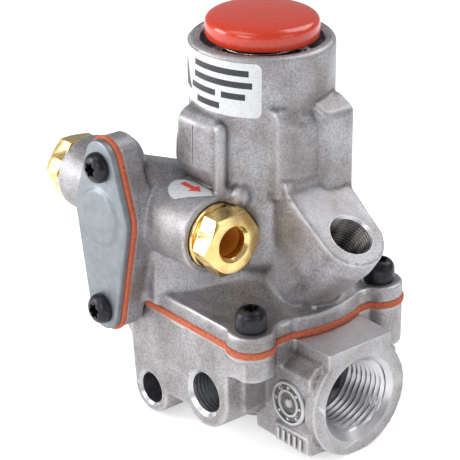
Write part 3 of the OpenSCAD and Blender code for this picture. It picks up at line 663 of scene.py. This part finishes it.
def lower_solids():
    wall = [
        (-16.4, 25), (-16.4, 18), (-14.9, 6), (2.4, 7.2), (3.2, 9), (15.6, 12.5), (15.6, 19), (18.9, 20),
        (18.9, 25)]
    block = port_block()
    return [
        *block, *[mirrored_x(s) for s in block],
        *flange_solids(20, PARTING_Z + 0.6),
        box((-16, -18, 9), (16, 18, 20.5)),
        lathe([(0, 0), (9, 0), (14, 5), (14, 20), (0, 20)], 128),
        prism(wall, FACE_Y, -18.1, "y"),
        bar("y", FACE_Y, -6, 5.4, at=(-9.5, 5.8)),
        bar("y", FACE_Y, -8, 7.4, at=(8.4, 12.1)),
        *[bar("z", 16, 25, 5, at=p, seg=64) for p in CORNERS[1:]],
        # blank raised pad on the outlet block
        box((19.2, -12.5, 2.6), (29.2, -11, 6.7)),
    ]


def side_hole(obj, x, z, r, rim, root=0.0):
    """Hole in the front face with a chamfer out to rim; it has a thread where root is given."""
    at = Matrix.Translation((x, FACE_Y, z)) @ FORWARD
    if root:
        boolean(obj, placed(threaded(r, root, 0.94, -10, -0.3, r + 0.1, 80), at), BORE)
    else:
        boolean(obj, placed(lathe([(0, -10), (r, -10), (r, 0.1), (0, 0.1)], 80), at), BORE)
    boolean(obj, placed(lathe([(0, -1), (r, r - rim), (rim, 0), (rim, 1.5), (0, 1.5)], 80), at), MACHINED)


def lower_body():
    obj = cast("lower_body_casting", lower_solids(), CASTING_GRID, 7, CAST_LOW)
    # flat faces: parting, front, base, outlet and inlet
    boolean(obj, box((-40, -40, PARTING_Z), (40, 40, 30)), CAST_LOW)
    boolean(obj, box((-40, -30, -1), (40, FACE_Y, PARTING_Z - 0.6)), CAST_LOW)
    boolean(obj, box((-40, -40, -5), (40, 40, 0)), MACHINED)
    boolean(obj, box((PORT_FACE_X, -20, -1), (40, 20, 27)), CAST_LOW)
    boolean(obj, box((-40, -20, -1), (-PORT_FACE_X, 20, 27)), CAST_LOW)
    # blank relief on the outlet block: rings, studs and bars
    medal = lathe([
        (0, -12.35), (0.9, -12.3), (1.2, -12.0), (2.3, -12.0), (2.5, -12.4), (3.0, -12.4), (3.2, -12.0),
        (4.1, -12.0), (4.25, -12.45), (4.7, -12.45), (4.95, -12.1), (4.95, -11), (0, -11),
    ], 64, "y", (MEDAL_X, 0, MEDAL_Z))
    turns = [k * STUD_STEP for k in range(STUDS)]
    places = [(MEDAL_X + 3.6 * math.cos(t), MEDAL_Z + 3.6 * math.sin(t)) for t in turns]
    studs = [bar("y", -12.4, -11.5, 0.32, at=place, seg=12) for place in places]
    bars = [box((20.3 + 1.7 * k, -12.85, 3.3), (20.95 + 1.7 * k, -12.2, 6.0)) for k in range(5)]
    for relief in (medal, joined(*studs), joined(*bars)):
        boolean(obj, relief, CAST_LOW, "UNION")
    # inlet and outlet threads, the way from the inlet, the gas chamber, and the way to the outlet
    for side in (-1, 1):
        out = Matrix.Translation((0, 0, PORT_Z)) @ sideways(side)
        boolean(obj, placed(threaded(PORT_R, 0.72, 1.41, 19, PORT_FACE_X, PORT_MOUTH_R, 128), out), THREAD)
    boolean(obj, bar("x", -20, -9, 5, at=(0, 11.6)), MACHINED)
    chamber = [(0, 4), (11, 4), (11, 17), (8.55, 17), (8.55, 19.6), (13.5, 19.6), (13.5, 26), (0, 26)]
    boolean(obj, lathe(chamber, 128), MACHINED)
    boolean(obj, box((12.5, -6, 8), (19, 6, 26)), MACHINED)
    side_hole(obj, -9.5, 5.8, 3.4, 3.95)
    side_hole(obj, 8.4, 12.1, 4.3, 5.15, 0.12)
    for p in SCREWS:
        boolean(obj, bar("z", 20.6, 26, 2.05, at=p, seg=32), MACHINED)
    return obj


# ---------------------------------------------------------------- fasteners, nuts, covers, button
def body_screws():
    profile = [
        (0, 21), (1.6, 21), (2, 21.5), (2, 30), (3.05, 30), (3.25, 30.25), (3.25, 32.2), (3.2, 32.9),
        (3.0, 33.6), (2.6, 34.15), (2.1, 34.5), (1.9, 34.6), (0, 34.6)]
    heads = []
    for i, p in enumerate(SCREWS):
        obj = loose("body_screw_%d" % (i + 1), lathe(profile, 64), BLACK)
        boolean(obj, prism(star(1.75, 1.2), 32.2, 36), BLACK)
        obj.data.transform(Matrix.Translation((*p, 0)) @ Matrix.Rotation(0.4 + 0.7 * i, 4, "Z"))
        heads.append(obj)
    return heads


def cover_screws():
    profile = [
        (0, -5.1), (1.7, -5.1), (2, -4.8), (2, 0), (3.1, 0), (3.25, 0.2), (3.25, 0.75), (3.1, 1.35),
        (2.75, 1.85), (2.2, 2.22), (1.6, 2.4), (0, 2.4)]
    heads = []
    for i, z in enumerate(COVER_SCREWS_Z):
        obj = loose("pilot_cover_screw_%d" % (i + 1), lathe(profile, 64), BLACK)
        boolean(obj, prism(star(1.7, 1.15), 0.9, 3), BLACK)
        place = Matrix.Translation((COVER_X, PLATE_Y, z)) @ FORWARD
        obj.data.transform(place @ Matrix.Rotation(0.3 + i, 4, "Z"))
        heads.append(obj)
    return heads


def pilot_nut(name, side):
    """Brass union nut with a collar, its flats turned as they stand in the photo."""
    corners = [math.radians(NUT_TURN + 60 * k) for k in range(6)]
    r = NUT_FLATS / 2 / math.cos(math.pi / 6)
    hexagon = [(r * math.cos(t), r * math.sin(t)) for t in corners]
    obj = loose(name, prism(hexagon, 23.1, NUT_REACH), BRASS)
    rounding = [(0, 22), (7.0, 22.9), (7.4, 23.25), (7.4, 26.7), (6.2, NUT_REACH), (0, NUT_REACH)]
    shank = [
        (0, 15), (5.1, 15), (5.5, 15.4), (5.5, 20.6), (6.7, 20.6), (6.95, 20.85), (6.95, 21.9), (6.8, 22.2),
        (6.1, 22.3), (6.1, 22.7), (6.4, 22.8), (6.4, 23.3), (0, 23.3)]
    boolean(obj, lathe(rounding, 96), BRASS, "INTERSECT")
    boolean(obj, lathe(shank, 96), BRASS, "UNION")
    boolean(obj, lathe([(0, 25), (3.25, 25), (3.25, 26.7), (4.0, NUT_REACH), (4.1, 28), (0, 28)], 72), BRASS)
    boolean(obj, lathe([(0, 14), (3.25, 14), (3.25, 26), (0, 26)], 72), BRASS_BORE)
    obj = beveled(obj, 0.14, 2, 28)
    obj.data.transform(Matrix.Translation((COVER_X, *PILOT)) @ sideways(side))
    return obj


def cover_plate():
    obj = loose("pilot_cover", stack([
        (teardrop(-0.5), PLATE_Y), (teardrop(-0.22), PLATE_Y + 0.07), (teardrop(-0.05), PLATE_Y + 0.25),
        (teardrop(0), PLATE_Y + 0.5), (teardrop(0), -29.3), (teardrop(-0.15), GASKET_Y)]), ZINC)
    dish = [
        (0, -1), (6.9, -1), (6.9, 0.0), (6.5, 0.06), (6.15, 0.22), (5.85, 0.48), (5.4, 0.64), (4.8, 0.7),
        (3.0, 0.7), (0, 0.7)]
    place = Matrix.Translation((COVER_X, PLATE_Y, PILOT_Z + 0.4)) @ FORWARD
    boolean(obj, placed(lathe(dish, 96), place), ZINC, "UNION")
    return obj


def cover_gasket():
    return loose("pilot_cover_seal", stack([
        (teardrop(0.3), GASKET_Y), (teardrop(0.58), GASKET_Y + 0.2), (teardrop(0.66), GASKET_Y + 0.6),
        (teardrop(0.58), PAD_Y - 0.2), (teardrop(0.3), PAD_Y)]), FIBRE)


def body_seal():
    obj = cast("body_seal", flange_solids(PARTING_Z, FLANGE_Z, 0.35), SEAL_GRID, 5, FIBRE)
    boolean(obj, lathe([(0, 24), (13.5, 24), (13.5, 28), (0, 28)], 96), FIBRE)
    boolean(obj, box((0, -6, 24), (19, 6, 28)), FIBRE)
    boolean(obj, box((-40, -40, 20), (40, 40, PARTING_Z)), FIBRE)
    boolean(obj, box((-40, -40, FLANGE_Z), (40, 40, 30)), FIBRE)
    for p in SCREWS:
        boolean(obj, bar("z", 24, 28, 2.25, at=p, seg=32), FIBRE)
    return obj


def button_cap():
    profile = [
        (0, 84.8), (3, 84.8), (3, RIM_Z), (5, RIM_Z), (5, 86), (9.9, 86), (9.9, RIM_Z), (11.35, RIM_Z),
        (11.6, 83.45), (11.7, 83.8), (11.7, 86.1), (11.62, 86.55), (11.35, 87.0), (10.9, 87.35),
        (10.2, 87.62), (9.0, 87.85), (7.0, 88.06), (4.5, 88.22), (2.0, 88.29), (0, 88.3)]
    return loose("reset_cap", lathe(profile, 128), RED)


def coil(name, r, wire, z0, z1, turns):
    """Round wire wound about the barrel axis, with its ends cut square."""
    steps, sides = turns * 32, 12
    verts, faces = [], []
    for i in range(steps + 1):
        a = math.tau * turns * i / steps
        for k in range(sides):
            b = math.tau * k / sides
            reach, z = r + wire * math.cos(b), z0 + (z1 - z0) * i / steps + wire * math.sin(b)
            verts.append(Vector((reach * math.cos(a), reach * math.sin(a), z)))
    for i in range(steps):
        for k in range(sides):
            m, lo = (k + 1) % sides, i * sides
            faces.append([lo + m, lo + k, lo + sides + k, lo + sides + m])
    faces.append(list(range(sides)))
    faces.append([steps * sides + k for k in range(sides)][::-1])
    return loose(name, (verts, faces), STEEL)


# ---------------------------------------------------------------- labels
def patch(outline, thick, bend, steps, along=0):
    """Thin sheet with a flat outline (u, v), cut in strips along u or v and bent by bend(u, v, height)."""
    bm = bmesh.new()
    bm.faces.new([bm.verts.new((u, v, 0)) for u, v in outline])
    lo, hi = min(p[along] for p in outline), max(p[along] for p in outline)
    normal = Vector((1, 0, 0)) if along == 0 else Vector((0, 1, 0))
    for i in range(1, steps):
        cut = normal * (lo + (hi - lo) * i / steps)
        everything = bm.verts[:] + bm.edges[:] + bm.faces[:]
        bmesh.ops.bisect_plane(bm, geom=everything, plane_co=cut, plane_no=normal)
    bm.normal_update()
    if bm.faces[:][0].normal.z < 0:
        bmesh.ops.reverse_faces(bm, faces=bm.faces[:])
    top = bmesh.ops.extrude_face_region(bm, geom=bm.faces[:], use_keep_orig=True)["geom"]
    raised = {v for v in top if isinstance(v, bmesh.types.BMVert)}
    bmesh.ops.recalc_face_normals(bm, faces=bm.faces[:])
    bm.verts.index_update()
    verts = [bend(v.co.x, v.co.y, thick if v in raised else 0.0) for v in bm.verts]
    faces = [[v.index for v in f.verts] for f in bm.faces]
    bm.free()
    return verts, faces


def rounded_rect(u0, v0, u1, v1, r, n=6):
    pts = []
    middles = ((u1 - r, v1 - r, 0), (u0 + r, v1 - r, 90), (u0 + r, v0 + r, 180), (u1 - r, v0 + r, 270))
    for cx, cy, start in middles:
        for k in range(n + 1):
            a = math.radians(start + 90 * k / n)
            pts.append((cx + r * math.cos(a), cy + r * math.sin(a)))
    return pts


def on_barrel(base):
    """Bends (u, v) round the barrel at radius base; u is the length of arc, v the height."""
    def bend(u, v, h):
        a = u / BARREL_R
        return Vector(((base + h) * math.cos(a), (base + h) * math.sin(a), v))
    return bend


def barrel_labels():
    """Plain label on the barrel, with a blank triangle and bars where a maker prints its text."""
    u0, u1 = math.radians(-160) * BARREL_R, math.radians(-41) * BARREL_R
    outline = rounded_rect(u0, 70.9, u1, 82.3, 1.3)
    sheet = loose("barrel_label_film", patch(outline, 0.12, on_barrel(15.03), 48), LABEL)
    marks = [[(-35.5, 73.6), (-28.3, 73.6), (-31.9, 80.2)]]
    # rows of blank bars: (start, end) of each word
    rows = (((-26.8, -13.3),), ((-27.0, -12.6),), ((-28.2, -20.6), (-19.2, -14.0)), ((-26.0, -19.6),))
    for row, words in enumerate(rows):
        top = 80.8 - 2.5 * row
        marks += [[(a, top - 1.3), (b, top - 1.3), (b, top), (a, top)] for a, b in words]
    inked = joined(*[patch(m, 0.02, on_barrel(15.14), 16) for m in marks])
    return sheet, loose("barrel_label_print", inked, INK)


def on_pilot_line(extra):
    """Bends (x, degrees above the front) round the pilot line."""
    def bend(u, v, h):
        a = math.radians(v)
        reach = 8.33 + (h + extra)
        return Vector((u, PILOT_Y - reach * math.cos(a), PILOT_Z + reach * math.sin(a)))
    return bend


def flow_labels():
    """Small drop-shaped label with an arrow towards the outlet, on top of the pilot line."""
    # the round end is towards the inlet
    turns = [math.radians(t) for t in range(0, 181, 12)]
    drop = [(-0.6 - 4.6 * math.sin(t), 80 - 25 * math.cos(t)) for t in turns]
    drop += [(4.4, 97), (5.6, 90), (4.4, 80)]
    arrow = [(-3.3, 82), (0.2, 82), (0.2, 76), (2.6, 86), (0.2, 96), (0.2, 90), (-3.3, 90)]
    film = loose("flow_label_film", patch(drop, 0.1, on_pilot_line(0.0), 16, 1), LABEL)
    return film, loose("flow_label_arrow", patch(arrow, 0.02, on_pilot_line(0.11), 8, 1), ARROW)


# ---------------------------------------------------------------- the pieces on their bodies
finish_piece(upper_body(), "housing", ["upper_body"])
finish_piece(lower_body(), "housing", ["lower_body"])
finish_piece(body_seal(), "housing", ["body_gasket"], 50)
for piece in body_screws():
    finish_piece(piece, "housing", ["body_screws"])
for piece in cover_screws():
    finish_piece(piece, "housing", ["pilot_cover_screws"])
finish_piece(cover_plate(), "housing", ["pilot_cover_plate"])
finish_piece(cover_gasket(), "housing", ["pilot_cover_gasket"])
finish_piece(pilot_nut("pilot_nut_in", -1), "housing", ["pilot_inlet_nut"])
finish_piece(pilot_nut("pilot_nut_out", 1), "housing", ["pilot_outlet_nut"])
finish_piece(button_cap(), "reset_button", ["button_cap"])
for piece in barrel_labels():
    finish_piece(piece, "housing", ["barrel_label"])
for piece in flow_labels():
    finish_piece(piece, "housing", ["flow_label"])

spring = coil("return_spring", 8.4, 0.35, 76.6, 85.6, 5)
finish_piece(spring, "housing", ["button_spring"])
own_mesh(spring)
spring = coil("inner_spring", 2.5, 0.3, 64.7, 81.9, 9)
finish_piece(spring, "reset_button", ["override_spring"])
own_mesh(spring)
spring = coil("valve_spring", 5, 0.4, 4.4, 12.8, 4)
finish_piece(spring, "housing", ["closing_spring"])
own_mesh(spring)

NODE_SLOTS = {
    "pilot_inlet_ferrule": "brass", "pilot_outlet_ferrule": "brass", "pilot_filter": "spring_steel",
    "button_plunger": "brass", "button_guide": "black_plastic", "guide_snap_ring": "spring_steel",
    "plunger_seal": "seal_rubber", "push_rods": "spring_steel", "interrupter_disc": "brass",
    "interrupter_seal": "seal_rubber", "magnet_bridge": "turned_aluminium", "magnet_core": "magnet_iron",
    "coil_bobbin": "white_nylon", "magnet_coil": "enamelled_copper", "armature": "magnet_iron",
    "valve_spindle": "spring_steel", "spindle_nuts": "brass", "partition_plate": "brass",
    "pilot_valve_disc": "seal_rubber", "main_valve_disc": "brass", "main_valve_seal": "seal_rubber",
    "valve_seat": "brass", "thermocouple_contact": "brass", "contact_insulator": "brown_phenolic",
    "coil_lead": "enamelled_copper",
}
for name, slot_name in NODE_SLOTS.items():
    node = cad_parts[name]
    node.data.materials.clear()
    node.data.materials.append(SLOT_MATERIALS[slot_name])


# ---------------------------------------------------------------- floor, light and camera
FLOOR_HALF = 1.2
AIM = Vector((0, 0, 0.045))
# name, place and size in metres, watts
LIGHTS = [
    ("key", (-0.39, -0.43, 0.20), 0.3, 2.1),
    ("front", (0.14, -0.60, 0.32), 0.3, 1.05),
    ("fill", (0.62, 0.12, 0.30), 0.28, 0.4),
    ("top", (0.08, 0.40, 0.52), 0.42, 1.9),
    ("overhead", (-0.12, -0.30, 0.62), 0.4, 1.0),
]


def stage_floor():
    n = Nodes("pale_floor")
    tone = n.ramp(n.noise(0.02, 2), [(0.3, 0.93), (0.7, 0.96)])
    n.set(Base_Color=tone, Roughness=0.9)
    n.bsdf.inputs["Emission Color"].default_value = (1, 1, 1, 1)
    n.bsdf.inputs["Emission Strength"].default_value = 0.5
    signs = ((-1, -1), (1, -1), (1, 1), (-1, 1))
    mesh = bpy.data.meshes.new("floor")
    mesh.from_pydata([(i * FLOOR_HALF, j * FLOOR_HALF, 0) for i, j in signs], [], [(0, 1, 2, 3)])
    floor = bpy.data.objects.new("floor", mesh)
    mesh.materials.append(n.mat)
    SCENE.collection.objects.link(floor)


def area_light(name, at, size, watts):
    data = bpy.data.lights.new(name, "AREA")
    data.shape, data.size, data.size_y = "RECTANGLE", size, size
    data.energy = watts
    obj = bpy.data.objects.new(name, data)
    obj.location = at
    obj.rotation_euler = (AIM - Vector(at)).to_track_quat("-Z", "Y").to_euler()
    SCENE.collection.objects.link(obj)


def studio():
    world = bpy.data.worlds.new("studio")
    SCENE.world = world
    world.use_nodes = True
    sky = world.node_tree.nodes["Background"]
    sky.inputs["Color"].default_value = (0.93, 0.95, 1.0, 1)
    sky.inputs["Strength"].default_value = 0.38
    for light in LIGHTS:
        area_light(*light)
    SCENE.view_settings.view_transform = "Standard"


def camera():
    data = bpy.data.cameras.new("camera")
    data.sensor_width, data.lens = 36, 170.6
    data.clip_start, data.clip_end = 0.01, 20
    cam = bpy.data.objects.new("camera", data)
    cam.location = (0.31389, -0.27151, 0.23237)
    cam.rotation_euler = (math.radians(65.09), 0, math.radians(50.04))
    SCENE.collection.objects.link(cam)
    SCENE.camera = cam


stage_floor()
studio()
camera()
